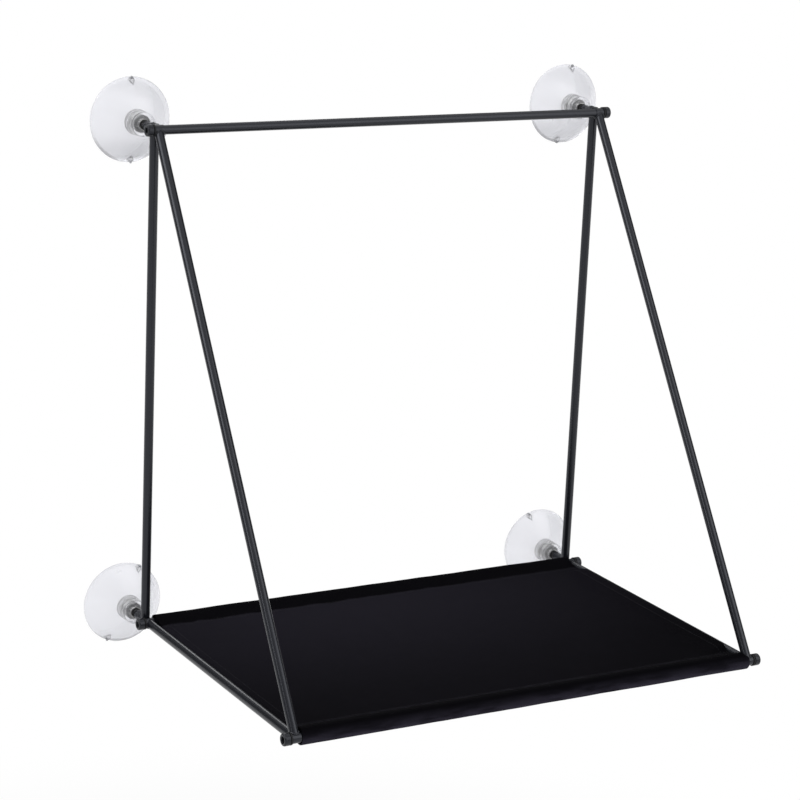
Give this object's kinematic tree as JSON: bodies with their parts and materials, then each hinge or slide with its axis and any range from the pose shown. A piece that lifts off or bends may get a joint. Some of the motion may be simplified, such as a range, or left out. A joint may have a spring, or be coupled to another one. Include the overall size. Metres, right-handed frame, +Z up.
{
  "type": "window mounted cat perch",
  "caption": "Cat perch that hangs on a window pane: welded tube side triangles, cross bars, a flat cloth sling and turning suction cups at the corners.",
  "frame": {"origin": "on the window glass, midway between the four suction cups", "axes": "+X to the right as seen from the room, +Y into the window glass, +Z up"},
  "size_m": [0.642, 0.4379, 0.638],
  "materials": {
    "black_tube": "satin black powder coat",
    "black_screw": "black plated",
    "zinc_steel": "bright zinc plated",
    "black_nylon": "moulded, matt",
    "clear_vinyl": "soft clear vinyl, slightly milky",
    "black_cloth": "tightly woven, taut"
  },
  "bodies": {
    "frame": {"top_bar": "black_tube", "rear_bar": "black_tube", "front_bar": "black_tube", "bar_end_inserts": "zinc_steel", "screw_washers": "black_nylon", "end_screws": "black_screw", "sling": "black_cloth", "left_top_ferrule": "black_tube", "left_rear_ferrule": "black_tube", "left_front_ferrule": "black_tube", "left_upright": "black_tube", "left_side_rail": "black_tube", "left_brace": "black_tube", "right_top_ferrule": "black_tube", "right_rear_ferrule": "black_tube", "right_front_ferrule": "black_tube", "right_upright": "black_tube", "right_side_rail": "black_tube", "right_brace": "black_tube", "top_left_standoff": "black_tube", "top_left_cup_stud": "zinc_steel", "top_right_standoff": "black_tube", "top_right_cup_stud": "zinc_steel", "bottom_left_standoff": "black_tube", "bottom_left_cup_stud": "zinc_steel", "bottom_right_standoff": "black_tube", "bottom_right_cup_stud": "zinc_steel"},
    "top_left_cup": {"top_left_suction_cup": "clear_vinyl", "top_left_cup_insert": "zinc_steel"},
    "top_left_nut": {"top_left_lock_nut": "black_nylon"},
    "top_right_cup": {"top_right_suction_cup": "clear_vinyl", "top_right_cup_insert": "zinc_steel"},
    "top_right_nut": {"top_right_lock_nut": "black_nylon"},
    "bottom_left_cup": {"bottom_left_suction_cup": "clear_vinyl", "bottom_left_cup_insert": "zinc_steel"},
    "bottom_left_nut": {"bottom_left_lock_nut": "black_nylon"},
    "bottom_right_cup": {"bottom_right_suction_cup": "clear_vinyl", "bottom_right_cup_insert": "zinc_steel"},
    "bottom_right_nut": {"bottom_right_lock_nut": "black_nylon"}
  },
  "joints": [
    {"name": "top_left_cup_turn", "type": "hinge", "parent": "frame", "child": "top_left_cup", "pos_m": [-0.275, -0.03, 0.2725], "axis": [0, 1, 0], "continuous": true},
    {"name": "top_left_nut_turn", "type": "hinge", "parent": "frame", "child": "top_left_nut", "pos_m": [-0.275, -0.0435, 0.2725], "axis": [0, 1, 0], "continuous": true},
    {"name": "top_right_cup_turn", "type": "hinge", "parent": "frame", "child": "top_right_cup", "pos_m": [0.275, -0.03, 0.2725], "axis": [0, 1, 0], "continuous": true},
    {"name": "top_right_nut_turn", "type": "hinge", "parent": "frame", "child": "top_right_nut", "pos_m": [0.275, -0.0435, 0.2725], "axis": [0, 1, 0], "continuous": true},
    {"name": "bottom_left_cup_turn", "type": "hinge", "parent": "frame", "child": "bottom_left_cup", "pos_m": [-0.275, -0.03, -0.2725], "axis": [0, 1, 0], "continuous": true},
    {"name": "bottom_left_nut_turn", "type": "hinge", "parent": "frame", "child": "bottom_left_nut", "pos_m": [-0.275, -0.0435, -0.2725], "axis": [0, 1, 0], "continuous": true},
    {"name": "bottom_right_cup_turn", "type": "hinge", "parent": "frame", "child": "bottom_right_cup", "pos_m": [0.275, -0.03, -0.2725], "axis": [0, 1, 0], "continuous": true},
    {"name": "bottom_right_nut_turn", "type": "hinge", "parent": "frame", "child": "bottom_right_nut", "pos_m": [0.275, -0.0435, -0.2725], "axis": [0, 1, 0], "continuous": true}
  ]
}
